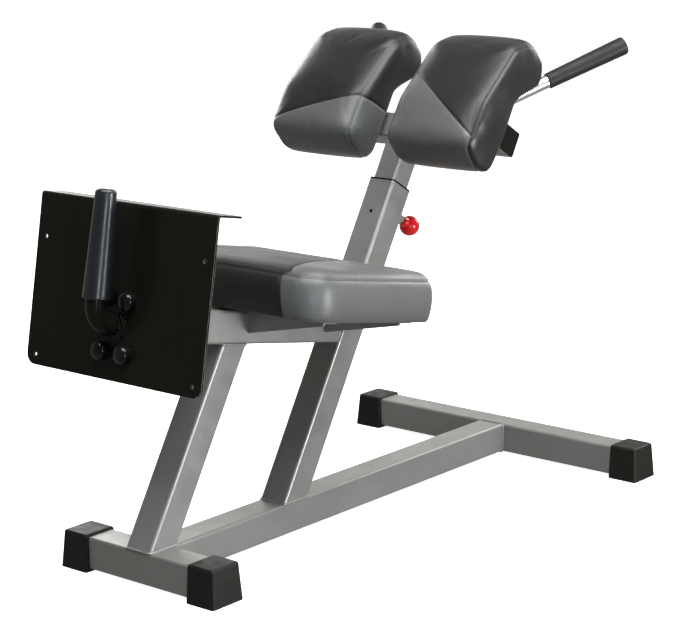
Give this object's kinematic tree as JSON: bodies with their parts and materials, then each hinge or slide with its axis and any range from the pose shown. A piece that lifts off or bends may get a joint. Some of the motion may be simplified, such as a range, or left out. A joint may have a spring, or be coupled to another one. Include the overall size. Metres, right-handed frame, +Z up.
{
  "type": "roman chair",
  "caption": "Roman chair: square-tube frame with a foot plate, knee cushion and a pin-locked sliding post with split hip pads and two handles.",
  "frame": {"origin": "on the floor, under the middle of the bounding box", "axes": "+X from the foot plate to the hip pads and the long rear cross-member, +Y to the left of a user who faces the pads, +Z up"},
  "size_m": [1.2318, 0.726, 0.8967],
  "materials": {
    "silver_paint": "silver-grey metallic powder coat, satin",
    "black_gloss_paint": "black enamel, gloss",
    "rubber_cap": "moulded black rubber, satin",
    "black_plastic": "moulded black plastic, satin",
    "sleeve_rubber": "smooth black rubber, semi-gloss",
    "grip_rubber": "smooth black rubber, satin",
    "chrome": "bright plated",
    "zinc_steel": "zinc-plated",
    "red_plastic": "gloss red",
    "black_leatherette": "fine-grained leatherette, satin",
    "grey_leatherette": "fine-grained leatherette, satin",
    "plywood": "raw birch plywood"
  },
  "bodies": {
    "frame": {"base_beam": "silver_paint", "bolt_covers": "black_plastic", "foot_cap_front_left": "rubber_cap", "foot_cap_front_right": "rubber_cap", "foot_cap_rear_left": "rubber_cap", "foot_cap_rear_right": "rubber_cap", "foot_plate": "black_gloss_paint", "front_bar": "black_gloss_paint", "front_bar_collar": "black_gloss_paint", "front_bar_sleeve": "sleeve_rubber", "front_crossmember": "silver_paint", "front_leg": "silver_paint", "pin_housing": "zinc_steel", "pin_spring": "zinc_steel", "plate_bolts": "zinc_steel", "plate_nuts": "zinc_steel", "plate_washers": "zinc_steel", "post_bushing": "black_plastic", "post_outer": "silver_paint", "rail_flange": "silver_paint", "rear_crossmember": "silver_paint", "seat_board": "plywood", "seat_bolts": "zinc_steel", "seat_bracket_front_left": "silver_paint", "seat_bracket_front_right": "silver_paint", "seat_bracket_rear_left": "silver_paint", "seat_bracket_rear_right": "silver_paint", "seat_cushion": "black_leatherette", "seat_rail": "silver_paint", "seat_tee_nuts": "zinc_steel", "seat_washers": "zinc_steel"},
    "upper": {"inner_post": "silver_paint", "inner_post_glide": "black_plastic", "cross_tube": "silver_paint", "cross_tube_plug_left": "black_plastic", "cross_tube_plug_right": "black_plastic", "pad_cushion_left": "black_leatherette", "pad_cushion_right": "black_leatherette", "pad_board_left": "plywood", "pad_board_right": "plywood", "pad_plate_left": "silver_paint", "pad_plate_right": "silver_paint", "pad_bolts": "zinc_steel", "pad_washers": "zinc_steel", "pad_tee_nuts": "zinc_steel", "handle_left": "chrome", "handle_right": "chrome", "grip_left": "grip_rubber", "grip_right": "grip_rubber"},
    "pin": {"pin_plunger": "chrome", "pin_knob": "red_plastic"}
  },
  "joints": [
    {"name": "post_height", "type": "slide", "parent": "frame", "child": "upper", "axis": [0.503, 0, 0.8643], "range_m": [-0.08, 0.16]},
    {"name": "pull_pin", "type": "slide", "parent": "frame", "child": "pin", "axis": [0.8643, 0, -0.503], "range_m": [-0.012, 0], "deforming": ["pin_spring"]}
  ]
}
